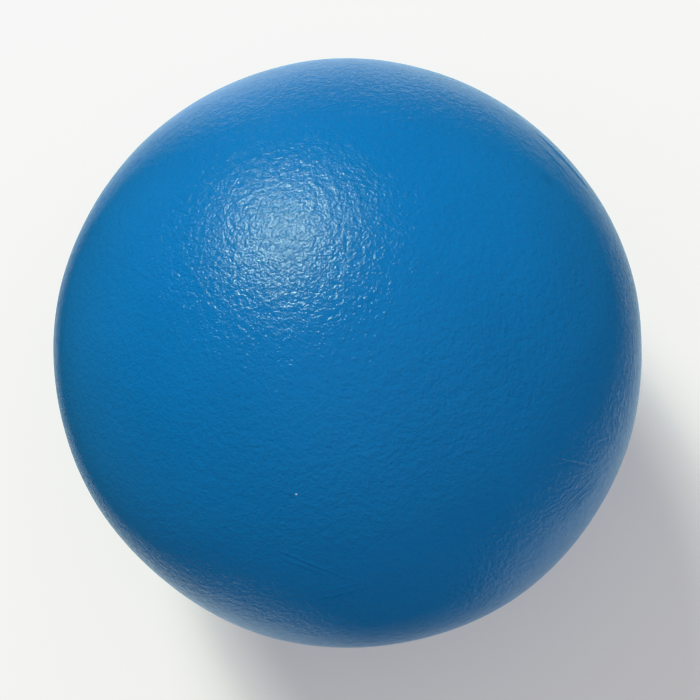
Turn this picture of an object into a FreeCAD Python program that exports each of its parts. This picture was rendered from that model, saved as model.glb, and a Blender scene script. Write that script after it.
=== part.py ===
import FreeCAD, Part
import math
import os

import Sketcher

# Coated foam playground ball. A round core of soft foam sits inside a thin skin of
# rubber-like coating that is sprayed on in passes and bonds to the foam all over.
# The origin is the centre of the ball and +Z is up.

# The driving dimensions: alias, value, what it is. Lengths are in millimetres and
# angles in degrees.
DIMENSIONS = [
    ("ball_diameter", 216.0, "across the outside of the skin, an 8.5 inch ball"),
    ("skin_thickness", 1.2, "the coat once all its passes have cured"),
    ("full_turn", 360.0, "sweep that turns a half disc into a ball"),
]
OUTER_RADIUS = "<<Sizes>>.ball_diameter / 2"
INNER_RADIUS = "<<Sizes>>.ball_diameter / 2 - <<Sizes>>.skin_thickness"

# An exported solid may differ from its formula by this part of its volume.
VOLUME_TOLERANCE = 1e-6


def make_sheet(doc):
    """Write the driving dimensions to a spreadsheet, one row each, with aliases."""
    sheet = doc.addObject("Spreadsheet::Sheet", "Sizes")
    sheet.Label = "Sizes"
    for row, (alias, value, note) in enumerate(DIMENSIONS, start=1):
        sheet.set(f"A{row}", alias)
        sheet.set(f"B{row}", str(value))
        sheet.set(f"C{row}", note)
        sheet.setAlias(f"B{row}", alias)
    doc.recompute()
    return sheet


def origin_plane(body, role):
    """Find one of a body's own origin planes."""
    return next(plane for plane in body.Origin.OriginFeatures if plane.Role == role)


def half_disc(body, name, radius, radius_expression):
    """Sketch the half disc on the +X side of the Z axis that sweeps out a ball."""
    sketch = body.newObject("Sketcher::SketchObject", name)
    sketch.AttachmentSupport = (origin_plane(body, "XZ_Plane"), [""])
    sketch.MapMode = "FlatFace"
    centre = FreeCAD.Vector(0, 0, 0)
    circle = Part.Circle(centre, FreeCAD.Vector(0, 0, 1), radius)
    arc = sketch.addGeometry(Part.ArcOfCircle(circle, -math.pi / 2, math.pi / 2))
    bottom = FreeCAD.Vector(0, -radius, 0)
    top = FreeCAD.Vector(0, radius, 0)
    axis_side = sketch.addGeometry(Part.LineSegment(top, bottom))
    origin, vertical_axis = -1, -2
    start, end, middle = 1, 2, 3
    sketch.addConstraint(Sketcher.Constraint("Coincident", arc, middle, origin, start))
    sketch.addConstraint(Sketcher.Constraint("Coincident", arc, end, axis_side, start))
    sketch.addConstraint(Sketcher.Constraint("Coincident", arc, start, axis_side, end))
    sketch.addConstraint(Sketcher.Constraint("PointOnObject", arc, start, vertical_axis))
    sketch.addConstraint(Sketcher.Constraint("PointOnObject", arc, end, vertical_axis))
    size = sketch.addConstraint(Sketcher.Constraint("Radius", arc, radius))
    sketch.renameConstraint(size, "ball_radius")
    sketch.setExpression("Constraints.ball_radius", radius_expression)
    return sketch


def turn(body, kind, name, sketch):
    """Turn a half disc once around the Z axis: a Revolution adds, a Groove removes."""
    feature = body.newObject(f"PartDesign::{kind}", name)
    feature.Profile = sketch
    feature.ReferenceAxis = (sketch, ["V_Axis"])
    feature.setExpression("Angle", "<<Sizes>>.full_turn")
    sketch.Visibility = False
    return feature


def make_body(doc, label):
    """Start a sub-part whose label is also the name of its file."""
    body = doc.addObject("PartDesign::Body", label)
    body.Label = label
    body.Placement = FreeCAD.Placement()
    return body


def make_foam_core(doc, inner_radius):
    """The moulded ball of soft foam that gives the shape and the bounce."""
    body = make_body(doc, "foam_core")
    profile = half_disc(body, "core_profile", inner_radius, INNER_RADIUS)
    turn(body, "Revolution", "core_ball", profile)
    return body


def make_skin(doc, outer_radius, inner_radius):
    """The coat: a closed shell that meets the foam all over its inside."""
    body = make_body(doc, "skin")
    outside = half_disc(body, "outside_profile", outer_radius, OUTER_RADIUS)
    turn(body, "Revolution", "outside_ball", outside)
    doc.recompute()
    inside = half_disc(body, "inside_profile", inner_radius, INNER_RADIUS)
    turn(body, "Groove", "room_for_core", inside)
    return body


def ball_volume(radius):
    """Volume of a ball from its radius."""
    return 4 / 3 * math.pi * radius**3


def check(doc, expected_volumes):
    """Stop if an object failed, or if a sub-part's solid isn't the one intended."""
    for item in doc.Objects:
        if "Invalid" in item.State or "Error" in item.State:
            raise RuntimeError(f"{item.Label} failed to recompute: {item.State}")
    for body, volume in expected_volumes.items():
        shape = body.Shape
        if shape.isNull() or not shape.isValid() or len(shape.Solids) != 1:
            raise RuntimeError(f"{body.Label} isn't one valid solid")
        if abs(shape.Volume - volume) > VOLUME_TOLERANCE * volume:
            raise RuntimeError(f"{body.Label} has volume {shape.Volume}, not {volume}")


def main():
    """Build the ball and write one STEP file for each sub-part."""
    doc = FreeCAD.newDocument("PlaygroundBall")
    sheet = make_sheet(doc)
    outer_radius = sheet.get("ball_diameter") / 2
    inner_radius = outer_radius - sheet.get("skin_thickness")

    foam_core = make_foam_core(doc, inner_radius)
    skin = make_skin(doc, outer_radius, inner_radius)
    doc.recompute()

    core_volume = ball_volume(inner_radius)
    skin_volume = ball_volume(outer_radius) - core_volume
    check(doc, {foam_core: core_volume, skin: skin_volume})

    os.makedirs("parts", exist_ok=True)
    for body in (foam_core, skin):
        body.Shape.exportStep(f"parts/{body.Label}.step")


main()
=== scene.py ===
"""A coated foam playground ball: its rubbery blue skin, the foam core inside it, and a studio.

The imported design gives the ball's size and place. The skin is a thin closed shell with the
swells, folds and pebbled grain that a sprayed coat takes from the soft foam under it.
"""

import logging
import math
import random
from dataclasses import dataclass
from enum import Enum
from typing import ClassVar

import bmesh
import bpy
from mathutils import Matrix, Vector, noise


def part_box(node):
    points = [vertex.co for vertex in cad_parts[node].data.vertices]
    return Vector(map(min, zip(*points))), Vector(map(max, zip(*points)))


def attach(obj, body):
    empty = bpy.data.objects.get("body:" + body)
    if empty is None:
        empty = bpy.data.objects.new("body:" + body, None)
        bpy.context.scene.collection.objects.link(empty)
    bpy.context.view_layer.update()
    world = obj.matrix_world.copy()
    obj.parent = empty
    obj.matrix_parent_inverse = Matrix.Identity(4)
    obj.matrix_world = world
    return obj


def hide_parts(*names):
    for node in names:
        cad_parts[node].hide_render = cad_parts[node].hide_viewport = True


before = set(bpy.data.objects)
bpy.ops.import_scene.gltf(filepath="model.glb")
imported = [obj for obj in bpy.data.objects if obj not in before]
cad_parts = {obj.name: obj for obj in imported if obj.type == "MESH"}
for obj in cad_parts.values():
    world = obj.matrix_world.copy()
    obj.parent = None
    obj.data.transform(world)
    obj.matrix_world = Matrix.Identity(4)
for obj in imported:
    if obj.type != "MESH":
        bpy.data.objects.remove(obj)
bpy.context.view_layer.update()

MM = 0.001
CORE_CLEARANCE = 0.05 * MM  # between the foam and the skin's inner wall
log = logging.getLogger("playground_ball")

Colour = tuple[float, float, float, float]


class Node(Enum):
    """The sub-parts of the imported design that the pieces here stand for."""

    SKIN = "skin"
    CORE = "foam_core"


class Slot(Enum):
    """Material slot names, which no piece here is given."""

    SKIN = "skin_coat"
    FOAM = "foam"


# ---------------------------------------------------------------- shader graphs


class Amount:
    """A number in a material's graph, so that shader maths reads as plain expressions."""

    def __init__(self, graph: "Graph", socket: bpy.types.NodeSocket) -> None:
        """Wrap a node's output."""
        self.graph = graph
        self.socket = socket

    def _math(self, operation: str, first: object, second: object) -> "Amount":
        """Add a Math node for two operands, each an Amount or a number."""
        made = self.graph.node("ShaderNodeMath", {"operation": operation}, {0: first, 1: second})
        return Amount(self.graph, made.outputs[0])

    def __add__(self, other: object) -> "Amount":
        """self + other."""
        return self._math("ADD", self, other)

    def __radd__(self, other: object) -> "Amount":
        """other + self."""
        return self._math("ADD", other, self)

    def __sub__(self, other: object) -> "Amount":
        """self - other."""
        return self._math("SUBTRACT", self, other)

    def __rsub__(self, other: object) -> "Amount":
        """other - self."""
        return self._math("SUBTRACT", other, self)

    def __mul__(self, other: object) -> "Amount":
        """self * other."""
        return self._math("MULTIPLY", self, other)

    def __rmul__(self, other: object) -> "Amount":
        """other * self."""
        return self._math("MULTIPLY", other, self)

    def __truediv__(self, other: object) -> "Amount":
        """self / other."""
        return self._math("DIVIDE", self, other)

    def limited(self) -> "Amount":
        """self, kept between 0 and 1."""
        made = self.graph.node("ShaderNodeClamp", {}, {"Value": self})
        return Amount(self.graph, made.outputs[0])


class Graph:
    """The node graph of a material or of the world."""

    def __init__(self, owner: bpy.types.Material | bpy.types.World) -> None:
        """Start with an empty graph.

        Args:
            owner: what the graph belongs to.
        """
        owner.use_nodes = True
        self.owner = owner
        self.tree = owner.node_tree
        self.tree.nodes.clear()
        self.coordinates = self.node("ShaderNodeTexCoord").outputs
        self.place = self.coordinates["Object"]

    @classmethod
    def of_material(cls, name: str) -> "Graph":
        """Start the graph of a new material."""
        return cls(bpy.data.materials.new(name))

    def node(self, kind: str, settings: dict | None = None, inputs: dict | None = None) -> bpy.types.Node:
        """Add a node.

        Args:
            kind: the node's type.
            settings: its own properties, set first.
            inputs: socket name or number to a value, a socket or an Amount.

        Returns:
            The node.
        """
        made = self.tree.nodes.new(kind)
        for name, value in (settings or {}).items():
            setattr(made, name, value)
        for key, value in (inputs or {}).items():
            if isinstance(value, Amount):
                value = value.socket
            if isinstance(value, bpy.types.NodeSocket):
                self.tree.links.new(value, made.inputs[key])
            else:
                made.inputs[key].default_value = value
        return made

    def grain(self, pitch: float, detail: float = 2.0, roughness: float = 0.5) -> Amount:
        """Noise about zero.

        Args:
            pitch: the distance from one bump to the next, in metres.
            detail: how many finer layers are added.
            roughness: how strong each finer layer is.

        Returns:
            A number between about -0.5 and 0.5.
        """
        settings = {"Vector": self.place, "Scale": 1 / pitch, "Detail": detail, "Roughness": roughness}
        made = self.node("ShaderNodeTexNoise", {}, settings)
        return Amount(self, made.outputs["Fac"]) - 0.5

    def cells(self, pitch: float) -> Amount:
        """Distance from the nearest of many scattered points, in units of their pitch."""
        made = self.node("ShaderNodeTexVoronoi", {}, {"Vector": self.place, "Scale": 1 / pitch})
        return Amount(self, made.outputs["Distance"])

    def dot(self, centre: Vector, radius: float, edge: float) -> Amount:
        """A round mark.

        Args:
            centre: its place.
            radius: where it has faded out, in metres.
            edge: the width of its fading edge, in metres.

        Returns:
            1 inside the mark, and 0 outside it.
        """
        inputs = {0: self.place, 1: centre}
        away = self.node("ShaderNodeVectorMath", {"operation": "DISTANCE"}, inputs)
        return ((radius - Amount(self, away.outputs["Value"])) / edge).limited()

    def blend(self, first: object, second: object, share: Amount) -> bpy.types.NodeSocket:
        """Mix two colours by share, 0 for the first and 1 for the second."""
        first_colour, second_colour, mixed_colour = 6, 7, 2
        inputs = {0: share, first_colour: first, second_colour: second}
        made = self.node("ShaderNodeMix", {"data_type": "RGBA"}, inputs)
        return made.outputs[mixed_colour]

    def raised(self, height: Amount) -> bpy.types.NodeSocket:
        """The surface's normal, disturbed by a height in metres."""
        made = self.node("ShaderNodeBump", {}, {"Strength": 1.0, "Distance": 1.0, "Height": height})
        return made.outputs["Normal"]

    def finish(self, **inputs: object) -> bpy.types.Material:
        """End the graph with a Principled shader.

        Args:
            inputs: the shader's sockets, with _ for a space in their names.

        Returns:
            The material.
        """
        named = {key.replace("_", " "): value for key, value in inputs.items()}
        shader = self.node("ShaderNodeBsdfPrincipled", {}, named)
        self.node("ShaderNodeOutputMaterial", {}, {"Surface": shader.outputs["BSDF"]})
        return self.owner


# --------------------------------------------------------------------- finishes


@dataclass(frozen=True)
class Mark:
    """A small round mark on the skin: its place, its radius in metres and its strength."""

    centre: Vector
    radius: float
    strength: float


@dataclass(frozen=True)
class SkinCoat:
    """The sprayed elastic coat: strong blue and glossy, with a pebbled grain.

    The grain has three layers: fine pebbles, small domes as of dried drops, and the slower
    unevenness of a coat that flowed before it set.
    """

    blue: Colour = (0.003, 0.195, 0.515, 1.0)
    deep_blue: Colour = (0.002, 0.171, 0.464, 1.0)
    dust: Colour = (0.62, 0.66, 0.70, 1.0)
    grime: Colour = (0.004, 0.075, 0.20, 1.0)
    pebble_pitch: float = 0.66 * MM
    pebble_height: float = 0.235 * MM
    pebble_shade: float = 1.8  # how far the pebbles move the colour from blue to deep blue
    dome_pitch: float = 1.2 * MM
    dome_height: float = 0.105 * MM
    flow_pitch: float = 2.4 * MM
    flow_height: float = 0.34 * MM
    flow_shade: float = 0.6
    drift_pitch: float = 38 * MM
    drift_shade: float = 1.3
    speck_edge: float = 0.3  # of a speck's radius
    gloss_roughness: float = 0.165
    roughness_spread: float = 0.08
    specular: float = 0.56
    gloss_tint: Colour = (0.79, 0.88, 0.52, 1.0)
    bloom: float = 0.04
    bloom_roughness: float = 0.5
    bloom_tint: Colour = (0.10, 0.80, 1.0, 1.0)

    def material(self, specks: list[Mark], smudges: list[Mark]) -> bpy.types.Material:
        """Make the material.

        Args:
            specks: places where a grain of dust sits on the coat.
            smudges: places that handling has darkened a little.

        Returns:
            The material.
        """
        graph = Graph.of_material("blue_skin_coat")
        pebbles = graph.grain(self.pebble_pitch, detail=2.0, roughness=0.45)
        flow = graph.grain(self.flow_pitch, detail=1.0)
        drift = graph.grain(self.drift_pitch, detail=2.0)
        shade = self.drift_shade * drift + self.flow_shade * flow + self.pebble_shade * pebbles
        colour = graph.blend(self.blue, self.deep_blue, (0.5 + shade).limited())
        for smudge in smudges:
            mask = graph.dot(smudge.centre, smudge.radius, smudge.radius) * smudge.strength
            colour = graph.blend(colour, self.grime, mask)
        for speck in specks:
            edge = self.speck_edge * speck.radius
            mask = graph.dot(speck.centre, speck.radius, edge) * speck.strength
            colour = graph.blend(colour, self.dust, mask)
        away = graph.cells(self.dome_pitch)
        dip = away * away  # from the top of a dome
        height = pebbles * self.pebble_height + flow * self.flow_height - dip * self.dome_height
        return graph.finish(
            Base_Color=colour,
            Roughness=self.gloss_roughness + self.roughness_spread * flow,
            Specular_IOR_Level=self.specular,
            Specular_Tint=self.gloss_tint,
            Sheen_Weight=self.bloom,
            Sheen_Roughness=self.bloom_roughness,
            Sheen_Tint=self.bloom_tint,
            Normal=graph.raised(height),
        )


@dataclass(frozen=True)
class OpenFoam:
    """Soft open-celled foam: cream, matt, with pores of about a millimetre, painted darker towards their
    depths as painted shade.
    """

    cream: Colour = (0.76, 0.69, 0.50, 1.0)
    # painted shade: the darker colour that each pore's depth blends in, standing for the shade inside it
    pore_painted_shade: Colour = (0.54, 0.44, 0.26, 1.0)
    pore_pitch: float = 1.6 * MM
    pore_depth: float = 0.5 * MM
    pore_wall: float = 2.2  # how steeply a pore deepens towards its middle
    # how strongly a pore's depth blends in the painted shade colour
    pore_shade: float = 0.85
    pore_gloss: float = 0.1
    bubble_pitch: float = 0.72 * MM
    bubble_rise: float = 0.3  # of a pore's depth
    patch_pitch: float = 22 * MM
    patch_shade: float = 0.25
    matt: float = 0.92

    def material(self) -> bpy.types.Material:
        """Make the material."""
        graph = Graph.of_material("cream_open_foam")
        away = graph.cells(self.pore_pitch)
        bubbles = graph.cells(self.bubble_pitch)
        patches = graph.grain(self.patch_pitch)
        depth = (1.25 - self.pore_wall * away).limited() * (0.75 + patches)
        # painted shade deepening with each pore's depth, plus random patches of tone
        shade = self.pore_shade * depth + self.patch_shade * patches
        height = (self.bubble_rise * bubbles - depth) * self.pore_depth
        return graph.finish(
            Base_Color=graph.blend(self.cream, self.pore_painted_shade, shade.limited()),
            Roughness=self.matt - self.pore_gloss * depth,
            Specular_IOR_Level=0.2,
            Normal=graph.raised(height),
        )


@dataclass(frozen=True)
class WhitePaper:
    """The studio's seamless white paper."""

    white: Colour = (0.93, 0.914, 0.915, 1.0)

    def material(self, name: str) -> bpy.types.Material:
        """Make the material, by the name given."""
        graph = Graph.of_material(name)
        return graph.finish(Base_Color=self.white, Roughness=0.95, Specular_IOR_Level=0.0)


# ------------------------------------------------------------------------ shape


@dataclass(frozen=True)
class Spot:
    """A place on the ball: azimuth from +X towards +Y, and tilt from straight up, in degrees."""

    azimuth: float
    tilt: float

    def direction(self) -> Vector:
        """The unit vector from the ball's centre to the spot."""
        around, lean = math.radians(self.azimuth), math.radians(self.tilt)
        level = math.sin(lean)
        return Vector((level * math.cos(around), level * math.sin(around), math.cos(lean)))

    def moved(self, bearing: float, distance: float) -> "Spot":
        """A spot some way off over the ball.

        Args:
            bearing: the way to go, anticlockwise from the way that azimuth grows, in degrees.
            distance: how far, in degrees at the ball's centre.

        Returns:
            The spot.
        """
        start, turn, angle = self.direction(), math.radians(bearing), math.radians(distance)
        east = Vector((0, 0, 1)).cross(start).normalized()
        way = east * math.cos(turn) + start.cross(east) * math.sin(turn)
        end = start * math.cos(angle) + way * math.sin(angle)
        return Spot(math.degrees(math.atan2(end.y, end.x)), math.degrees(math.acos(end.z)))


@dataclass
class Swell:
    """A broad rise of the surface, or a hollow where rise is below zero."""

    centre: Spot
    spread: float  # degrees
    rise: float  # metres

    def __post_init__(self) -> None:
        """Work out what rise_at needs for every point."""
        self.towards = self.centre.direction()
        self.fall = 1 - math.cos(math.radians(self.spread))

    def rise_at(self, direction: Vector) -> float:
        """How far the surface stands proud in a direction from the centre."""
        return self.rise * math.exp((direction.dot(self.towards) - 1) / self.fall)


@dataclass
class Fold:
    """A short crease where the coat buckled: a ridge with a groove along its right side."""

    NEAR_SIDE: ClassVar[float] = 0.8  # least cosine of a point's angle from the fold's middle
    PAST_END: ClassVar[float] = 1.3  # half lengths from the middle
    TURNS: ClassVar[float] = 22.0  # of a wandering line, over one radius
    SIDE_STEP: ClassVar[float] = 0.8  # widths from the line to the ridge's crest
    REACH: ClassVar[float] = 4.0  # widths from the line to where the surface is undisturbed
    FINE_REACH: ClassVar[float] = 2.6  # widths from the line that a fine mesh has to cover
    FADE: ClassVar[float] = 0.9  # power of the fading towards the ends

    start: Spot
    end: Spot
    ridge: float  # height in metres
    groove: float  # depth in metres
    width: float  # of the ridge and of the groove, in metres
    bow: float = 0.0  # how far its middle stands off the straight line, in metres
    wander: float = 0.0  # how far it strays from its arc, in metres

    def __post_init__(self) -> None:
        """Work out the fold's middle and its own directions along and across."""
        first, last = self.start.direction(), self.end.direction()
        self.middle = (first + last).normalized()
        self.along = (last - first).normalized()
        self.across = self.middle.cross(self.along)
        self.half_angle = first.angle(last) / 2

    def place(self, direction: Vector, radius: float) -> tuple[float, float] | None:
        """Where a point lies on the fold.

        Args:
            direction: the unit vector to the point.
            radius: the ball's radius.

        Returns:
            Its share of the way from the middle to an end, and its distance to the left of
            the fold's line, or None where it is well past the ends or on the far side.
        """
        if direction.dot(self.middle) < self.NEAR_SIDE:
            return None
        share = direction.dot(self.along) / math.sin(self.half_angle)
        if abs(share) > self.PAST_END:
            return None
        line = self.bow * (1 - share * share)
        if self.wander:
            line += self.wander * noise.noise(direction * self.TURNS)
        return share, radius * direction.dot(self.across) - line

    def near(self, direction: Vector, radius: float, margin: float) -> bool:
        """Whether a point is on the fold or within a margin of it."""
        placed = self.place(direction, radius)
        return placed is not None and abs(placed[1]) < self.FINE_REACH * self.width + margin

    def rise_at(self, direction: Vector, radius: float) -> float:
        """How far the fold lifts the surface in a direction, which is below zero in its groove."""
        placed = self.place(direction, radius)
        if placed is None or abs(placed[0]) >= 1 or abs(placed[1]) > self.REACH * self.width:
            return 0.0
        share, left = placed
        fade = (1 - share * share) ** self.FADE
        side = self.SIDE_STEP * self.width
        ridge = self.ridge * math.exp(-(((left - side) / self.width) ** 2))
        groove = self.groove * math.exp(-(((left + side) / self.width) ** 2))
        return fade * (ridge - groove)


@dataclass(frozen=True)
class Fan:
    """A spray of fine broken wrinkles that run side by side between two edge wrinkles.

    The pairs are ranges that each wrinkle draws from: where it begins and how long it is, as
    shares of the way across, and its depth and width, as shares of the fan's.
    """

    BEGINS: ClassVar[tuple[float, float]] = (0.0, 0.6)
    LENGTHS: ClassVar[tuple[float, float]] = (0.25, 0.5)
    DEPTHS: ClassVar[tuple[float, float]] = (0.45, 1.1)
    WIDTHS: ClassVar[tuple[float, float]] = (0.8, 1.25)
    UNEVENNESS: ClassVar[float] = 0.4  # of the gap between neighbours

    first: tuple[Spot, Spot]
    last: tuple[Spot, Spot]
    count: int
    depth: float
    width: float
    seed: int
    bow: float = 0.8 * MM
    wander: float = 1.2 * MM

    def folds(self) -> list[Fold]:
        """Lay out the wrinkles, each with its own length, bow and depth."""
        chance = random.Random(self.seed)
        made = []
        for index in range(self.count):
            step = (index + chance.uniform(-self.UNEVENNESS, self.UNEVENNESS)) / (self.count - 1)
            near_edge = self._between(self.first[0], self.last[0], step)
            far_edge = self._between(self.first[1], self.last[1], step)
            begins = chance.uniform(*self.BEGINS)
            start = self._between(near_edge, far_edge, begins)
            end = self._between(near_edge, far_edge, begins + chance.uniform(*self.LENGTHS))
            depth = self.depth * chance.uniform(*self.DEPTHS)
            width = self.width * chance.uniform(*self.WIDTHS)
            bow = chance.uniform(-self.bow, self.bow)
            made.append(Fold(start, end, depth, depth, width, bow, self.wander))
        return made

    @staticmethod
    def _between(first: Spot, last: Spot, step: float) -> Spot:
        """The spot part of the way between two."""
        azimuth = first.azimuth + step * (last.azimuth - first.azimuth)
        return Spot(azimuth, first.tilt + step * (last.tilt - first.tilt))


@dataclass(frozen=True)
class Crumple:
    """A place where the coat buckled: one crease, with a few fine wrinkles that leave it.

    The pairs are ranges that each wrinkle draws from: its place along and across and its half
    length, as shares of the spread, how far it turns from the crease, in degrees, and its width.
    """

    ALONG: ClassVar[tuple[float, float]] = (-0.5, 1.0)
    ACROSS: ClassVar[tuple[float, float]] = (0.15, 0.8)
    TURN: ClassVar[tuple[float, float]] = (22, 58)
    HALF: ClassVar[tuple[float, float]] = (0.25, 0.55)
    WIDTHS: ClassVar[tuple[float, float]] = (0.38 * MM, 0.55 * MM)
    FAINTNESS: ClassVar[float] = 0.45  # a wrinkle's depth, as a share of the crease's
    GROOVE: ClassVar[float] = 1.3  # a groove's depth, as a share of its ridge's height
    BOW: ClassVar[float] = 0.8 * MM
    WANDER: ClassVar[float] = 0.9 * MM

    centre: Spot
    bearing: float  # of the crease, in degrees
    spread: float  # half the crease's length, in degrees
    seed: int
    depth: float = 0.11 * MM
    wrinkles: int = 7

    def folds(self) -> list[Fold]:
        """Lay out the crease and its wrinkles."""
        chance = random.Random(self.seed)
        made = [self._fold(self.centre, self.bearing, self.spread, self.depth, chance)]
        for _ in range(self.wrinkles):
            along = self.centre.moved(self.bearing, chance.uniform(*self.ALONG) * self.spread)
            place = along.moved(self.bearing + 90, chance.uniform(*self.ACROSS) * self.spread)
            bearing = self.bearing + chance.uniform(*self.TURN)
            half = self.spread * chance.uniform(*self.HALF)
            made.append(self._fold(place, bearing, half, self.FAINTNESS * self.depth, chance))
        return made

    def _fold(self, place: Spot, bearing: float, half: float, depth: float,
              chance: random.Random) -> Fold:
        """Lay one fold.

        Args:
            place: its middle.
            bearing: the way it runs, in degrees.
            half: half its length, in degrees.
            depth: its ridge's height, in metres.
            chance: what its width and its bow are drawn from.

        Returns:
            The fold.
        """
        width = chance.uniform(*self.WIDTHS)
        bow = chance.uniform(-self.BOW, self.BOW)
        start, end = place.moved(bearing, -half), place.moved(bearing, half)
        return Fold(start, end, depth, self.GROOVE * depth, width, bow, self.WANDER)


@dataclass
class BallForm:
    """The ball's outer surface: a true ball with swells, a slight waviness and folds."""

    radius: float
    swells: list[Swell]
    folds: list[Fold]
    waves: tuple[tuple[float, float], ...] = ((48 * MM, 0.30 * MM), (15 * MM, 0.07 * MM))  # pitch, rise

    def height(self, direction: Vector, folded: bool) -> float:
        """The surface's distance from the ball's centre.

        Args:
            direction: the unit vector to the point.
            folded: False leaves out the folds, which are in the skin alone.

        Returns:
            The distance in metres.
        """
        height = self.radius + sum(swell.rise_at(direction) for swell in self.swells)
        for pitch, rise in self.waves:
            height += rise * noise.noise(direction * (self.radius / pitch))
        if folded:
            height += sum(fold.rise_at(direction, self.radius) for fold in self.folds)
        return height

    def refine(self, bm: bmesh.types.BMesh, margins: tuple[float, ...]) -> None:
        """Halve the mesh's edges near the folds, once for each margin.

        Args:
            bm: a ball of radius 1.
            margins: how far from a fold the finer mesh reaches, in metres.
        """
        for margin in margins:
            near = {v for v in bm.verts if self._near_fold(v.co, margin)}
            edges = [e for e in bm.edges if e.verts[0] in near and e.verts[1] in near]
            bmesh.ops.subdivide_edges(bm, edges=edges, cuts=1, use_grid_fill=True, use_single_edge=True)
            bmesh.ops.triangulate(bm, faces=[f for f in bm.faces if len(f.verts) > 3])
            for vert in bm.verts:
                vert.co.normalize()

    def _near_fold(self, direction: Vector, margin: float) -> bool:
        """Whether any fold is within the margin."""
        return any(fold.near(direction, self.radius, margin) for fold in self.folds)


def new_piece(name: str, bm: bmesh.types.BMesh, material: bpy.types.Material) -> bpy.types.Object:
    """Turn a bmesh into a smooth-shaded piece.

    Args:
        name: the piece's name.
        bm: its shape, which is freed.
        material: its finish.

    Returns:
        The object, linked to the scene.
    """
    mesh = bpy.data.meshes.new(name)
    bm.to_mesh(mesh)
    bm.free()
    mesh.shade_smooth()
    mesh.materials.append(material)
    piece = bpy.data.objects.new(name, mesh)
    bpy.context.scene.collection.objects.link(piece)
    return piece


def report(piece: bpy.types.Object) -> None:
    """Log what a piece is made of."""
    log.info("%s: %d faces, %s", piece.name, len(piece.data.polygons), piece.data.materials[0].name)


@dataclass
class Skin:
    """The coat: an outer surface with every fold, and a plain inner wall on the foam."""

    form: BallForm
    thickness: float
    outer_steps: int = 7
    inner_steps: int = 6
    fine_margins: tuple[float, ...] = (1.8 * MM, 0.7 * MM, 0.0)

    def build(self) -> bpy.types.Object:
        """Make the skin, dress it and hand it to the frame."""
        bm = bmesh.new()
        bmesh.ops.create_icosphere(bm, subdivisions=self.outer_steps, radius=1.0)
        self.form.refine(bm, self.fine_margins)
        for vert in bm.verts:
            vert.co *= self.form.height(vert.co, folded=True)
        inner = bmesh.ops.create_icosphere(bm, subdivisions=self.inner_steps, radius=1.0)["verts"]
        for vert in inner:
            vert.co *= self.form.height(vert.co, folded=False) - self.thickness
        inner_faces = {face for vert in inner for face in vert.link_faces}
        bmesh.ops.reverse_faces(bm, faces=list(inner_faces))
        piece = new_piece("ball_skin", bm, SkinCoat().material(self.specks(), self.smudges()))
        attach(piece, "root")
        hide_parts(Node.SKIN.value)
        return piece

    def specks(self) -> list[Mark]:
        """Dust caught on the coat."""
        return [self._mark(Spot(-110.2, 24.6), 0.34 * MM, 1.0), self._mark(Spot(70, 128), 0.3 * MM, 0.8)]

    def smudges(self) -> list[Mark]:
        """Faint dark marks from handling."""
        return [self._mark(Spot(41.2, 52.9), 3.2 * MM, 0.35), self._mark(Spot(200, 105), 4 * MM, 0.3)]

    def _mark(self, spot: Spot, radius: float, strength: float) -> Mark:
        """Put a mark on the outer surface."""
        direction = spot.direction()
        centre = direction * self.form.height(direction, folded=True)
        return Mark(centre, radius, strength)


@dataclass
class FoamCore:
    """The moulded foam ball inside the skin."""

    form: BallForm
    inset: float
    steps: int = 7
    dimple_depth: float = 0.25 * MM
    dimple_turns: float = 24.0  # over one radius

    def build(self) -> bpy.types.Object:
        """Make the core, dress it and hand it to the frame."""
        bm = bmesh.new()
        bmesh.ops.create_icosphere(bm, subdivisions=self.steps, radius=1.0)
        for vert in bm.verts:
            dimple = self.dimple_depth * abs(noise.noise(vert.co * self.dimple_turns))
            vert.co *= self.form.height(vert.co, folded=False) - self.inset - dimple
        piece = new_piece("foam_ball", bm, OpenFoam().material())
        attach(piece, "root")
        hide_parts(Node.CORE.value)
        return piece


def ball_swells() -> list[Swell]:
    """The broad unevenness of the moulded foam."""
    return [
        Swell(Spot(-52, 80), 24, 0.62 * MM),
        Swell(Spot(-130, 80), 15, -0.85 * MM),
        Swell(Spot(0, 80), 10, -0.55 * MM),
        Swell(Spot(160, 80), 22, 0.30 * MM),
        Swell(Spot(44, 80), 16, -0.35 * MM),
        Swell(Spot(94, 80), 15, 0.25 * MM),
    ]


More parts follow.
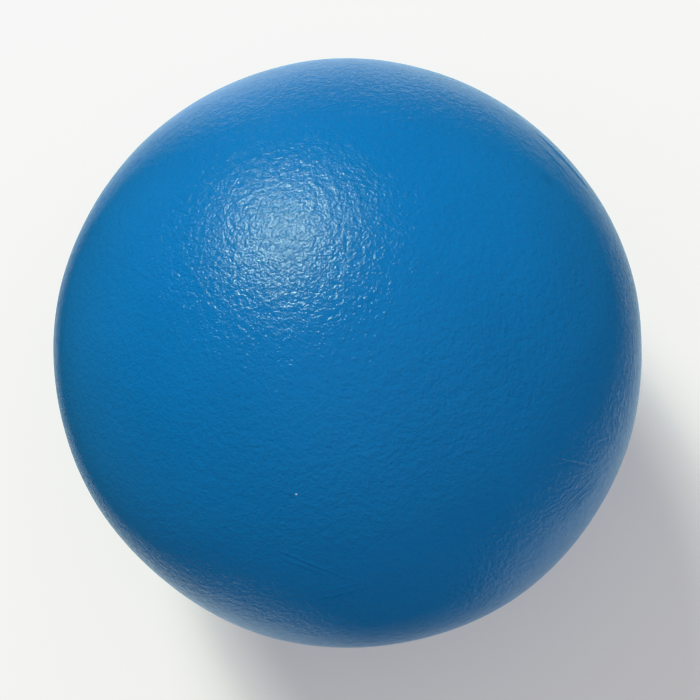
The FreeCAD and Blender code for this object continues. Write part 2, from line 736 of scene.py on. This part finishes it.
def ball_folds() -> list[Fold]:
    """Every crease and wrinkle of the coat."""
    creases = [
        Fold(Spot(-27.4, 40.3), Spot(-24.6, 56.8), 0.16 * MM, 0.20 * MM, 0.50 * MM, 0.6 * MM, 0.5 * MM),
        Fold(Spot(-29.0, 42.0), Spot(-25.8, 48.5), 0.05 * MM, 0.07 * MM, 0.45 * MM, 0.4 * MM),
        Fold(Spot(-20.6, 51.5), Spot(-18.0, 57.5), 0.06 * MM, 0.08 * MM, 0.45 * MM, 0.5 * MM),
        Fold(Spot(-110.8, 36.8), Spot(-91.5, 40.4), 0.17 * MM, 0.22 * MM, 0.50 * MM, 0.5 * MM, 0.4 * MM),
        Fold(Spot(-108.5, 38.5), Spot(-95.0, 40.6), 0.09 * MM, 0.12 * MM, 0.45 * MM, 0.3 * MM, 0.4 * MM),
        Fold(Spot(-94.0, 39.8), Spot(-86.5, 41.6), 0.12 * MM, 0.15 * MM, 0.45 * MM, 0.0, 0.4 * MM),
        Fold(Spot(-99.5, 48.4), Spot(-85.5, 43.4), 0.20 * MM, 0.24 * MM, 0.45 * MM, 0.5 * MM, 0.4 * MM),
        Fold(Spot(-96.6, 44.9), Spot(-85.0, 41.6), 0.16 * MM, 0.20 * MM, 0.45 * MM, 0.3 * MM, 0.4 * MM),
        Fold(Spot(-97.6, 46.9), Spot(-88.0, 43.9), 0.13 * MM, 0.17 * MM, 0.45 * MM, 0.2 * MM, 0.4 * MM),
        Fold(Spot(50.5, 68.0), Spot(34.0, 68.8), 0.14 * MM, 0.30 * MM, 0.60 * MM, -1.2 * MM),
        Fold(Spot(49.0, 62.4), Spot(38.0, 62.0), 0.06 * MM, 0.08 * MM, 0.45 * MM, 0.4 * MM),
        Fold(Spot(159.0, 52.5), Spot(162.5, 28.0), 0.03 * MM, 0.05 * MM, 0.50 * MM, 1.5 * MM, 0.6 * MM),
    ]
    fans = [
        Fan((Spot(-25.0, 55.5), Spot(-41.5, 44.5)), (Spot(-25.5, 62.0), Spot(-45.0, 54.5)), 26,
            0.06 * MM, 0.38 * MM, seed=3),
        Fan((Spot(-17.0, 50.5), Spot(-22.5, 58.0)), (Spot(-11.0, 56.5), Spot(-19.0, 65.0)), 12,
            0.06 * MM, 0.38 * MM, seed=8),
        Fan((Spot(47.0, 60.0), Spot(36.0, 59.0)), (Spot(46.0, 66.0), Spot(35.0, 66.0)), 5,
            0.05 * MM, 0.42 * MM, seed=5),
    ]
    crumples = [
        Crumple(Spot(-150, 96), 20, 6.0, seed=11),
        Crumple(Spot(-72, 108), -35, 7.0, seed=12, wrinkles=9),
        Crumple(Spot(18, 118), 75, 5.0, seed=13),
        Crumple(Spot(98, 92), 140, 6.5, seed=14),
        Crumple(Spot(158, 124), 15, 6.0, seed=15, wrinkles=9),
        Crumple(Spot(60, 146), -60, 7.0, seed=16),
        Crumple(Spot(-110, 152), 100, 5.5, seed=17),
    ]
    return creases + [fold for group in (*fans, *crumples) for fold in group.folds()]


# ----------------------------------------------------------------------- studio


@dataclass
class Studio:
    """White paper on a table, one round key light, soft light all round, and the camera."""

    radius: float
    floor_height: float
    floor_reach: float = 40.0  # ball radii
    table_lift: float = 0.05 * MM
    table_white: Colour = (0.73, 0.84, 0.90, 1.0)
    table_corners: tuple[tuple[float, float], ...] = (  # ball radii
        (-1.15, -2.5), (-0.5, -2.4), (0.1, -1.9), (1.1, -1.85), (1.9, -2.8), (3.0, -2.4),
        (2.0, 0.0), (1.35, 1.6), (0.5, 2.8), (-1.15, 2.7), (-1.58, 0.0),
    )
    key: Spot = Spot(118.3, 49.5)
    key_distance: float = 1.5
    key_half_angle: float = 10.4  # degrees, seen from the ball's centre
    key_irradiance: float = 2.15
    key_colour: tuple[float, float, float] = (1.04, 1.08, 0.90)
    sky_colour: Colour = (0.975, 0.975, 0.985, 1.0)
    sky_low: float = 0.12
    sky_top: float = 0.50
    sky_side: float = 0.38
    sky_lean: tuple[float, float] = (0.50, -0.20)  # of the side light, towards +X and +Y
    sky_in_gloss: float = 0.02
    camera_distance: float = 4.54  # ball radii
    camera_lens: float = 67.06
    camera_sensor: float = 36.0
    camera_aside: tuple[float, float] = (0.62 * MM, 1.15 * MM)
    whites: tuple[tuple[float, float], ...] = ((0.55, 0.55), (0.72, 0.82), (0.84, 0.905))
    whitest: float = 0.93

    def build(self) -> None:
        """Set the studio up."""
        self._floor(WhitePaper().material("white_paper"))
        self._table_top(WhitePaper(white=self.table_white).material("mirrored_paper"))
        self._key_light()
        self._sky()
        self._camera()
        self._film()

    def _sheet(self, name: str, corners: tuple[tuple[float, float], ...], height: float,
               material: bpy.types.Material) -> bpy.types.Object:
        """Lay a flat sheet, face up.

        Args:
            name: the sheet's name.
            corners: its corners, anticlockwise from above, in ball radii.
            height: how high it lies.
            material: its finish.

        Returns:
            The sheet.
        """
        bm = bmesh.new()
        verts = [bm.verts.new((x * self.radius, y * self.radius, height)) for x, y in corners]
        bm.faces.new(verts)
        sheet = new_piece(name, bm, material)
        return sheet

    def _floor(self, paper: bpy.types.Material) -> None:
        """The wide floor, which the gloss of the ball doesn't mirror past the table's edge."""
        reach = self.floor_reach
        corners = ((-reach, -reach), (reach, -reach), (reach, reach), (-reach, reach))
        floor = self._sheet("floor", corners, self.floor_height, paper)
        floor.visible_glossy = False

    def _table_top(self, paper: bpy.types.Material) -> None:
        """The lit table top that the gloss of the ball mirrors, and that nothing else sees."""
        height = self.floor_height + self.table_lift
        table = self._sheet("table_top", self.table_corners, height, paper)
        table.visible_camera = False
        table.visible_diffuse = False
        table.visible_shadow = False

    def _key_light(self) -> None:
        """A round soft light, high and behind the ball's left shoulder."""
        direction = self.key.direction()
        lamp = bpy.data.lights.new("key_light", "AREA")
        lamp.shape = "DISK"
        lamp.size = 2 * self.key_distance * math.tan(math.radians(self.key_half_angle))
        lamp.color = self.key_colour
        lamp.energy = math.pi * self.key_distance**2 * self.key_irradiance
        light = bpy.data.objects.new("key_light", lamp)
        light.location = direction * self.key_distance
        light.rotation_euler = direction.to_track_quat("Z", "Y").to_euler()
        light.visible_camera = False
        bpy.context.scene.collection.objects.link(light)

    def _sky(self) -> None:
        """Light from above and from the sides, and a dark room for gloss to mirror."""
        world = bpy.data.worlds.new("studio_room")
        bpy.context.scene.world = world
        graph = Graph(world)
        axes = graph.node("ShaderNodeSeparateXYZ", {}, {0: graph.coordinates["Generated"]}).outputs
        right, back, up = (Amount(graph, axes[axis]) for axis in "XYZ")
        mirrored = Amount(graph, graph.node("ShaderNodeLightPath").outputs["Is Glossy Ray"])
        lean_right, lean_back = self.sky_lean
        side = 0.5 + lean_right * right + lean_back * back
        soft = self.sky_low + self.sky_top * up * up + self.sky_side * side
        strength = mirrored * self.sky_in_gloss + (1 - mirrored) * soft
        light = {"Color": self.sky_colour, "Strength": strength}
        background = graph.node("ShaderNodeBackground", {}, light)
        graph.node("ShaderNodeOutputWorld", {}, {"Surface": background.outputs["Background"]})

    def _film(self) -> None:
        """A plain sRGB picture whose whites roll off a little below pure white."""
        view = bpy.context.scene.view_settings
        view.view_transform = "Standard"
        view.use_curve_mapping = True
        whites = view.curve_mapping.curves[3]
        for light, shown in self.whites:
            whites.points.new(light, shown)
        whites.points[-1].location = (1.0, self.whitest)
        view.curve_mapping.update()

    def _camera(self) -> None:
        """Straight above the ball, looking down, with +Y up the picture."""
        camera = bpy.data.cameras.new("camera")
        camera.lens = self.camera_lens
        camera.sensor_width = self.camera_sensor
        eye = bpy.data.objects.new("camera", camera)
        eye.location = (*self.camera_aside, self.camera_distance * self.radius)
        bpy.context.scene.collection.objects.link(eye)
        bpy.context.scene.camera = eye


def main() -> None:
    """Build the ball and its studio."""
    logging.basicConfig(level=logging.INFO, format="%(message)s")
    low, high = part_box(Node.SKIN.value)
    core_low, core_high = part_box(Node.CORE.value)
    radius = (high.z - low.z) / 2
    thickness = radius - (core_high.z - core_low.z) / 2

    form = BallForm(radius, ball_swells(), ball_folds())
    for piece in (Skin(form, thickness).build(), FoamCore(form, thickness + CORE_CLEARANCE).build()):
        report(piece)
    Studio(radius, floor_height=low.z).build()


if __name__ == "__main__":
    main()
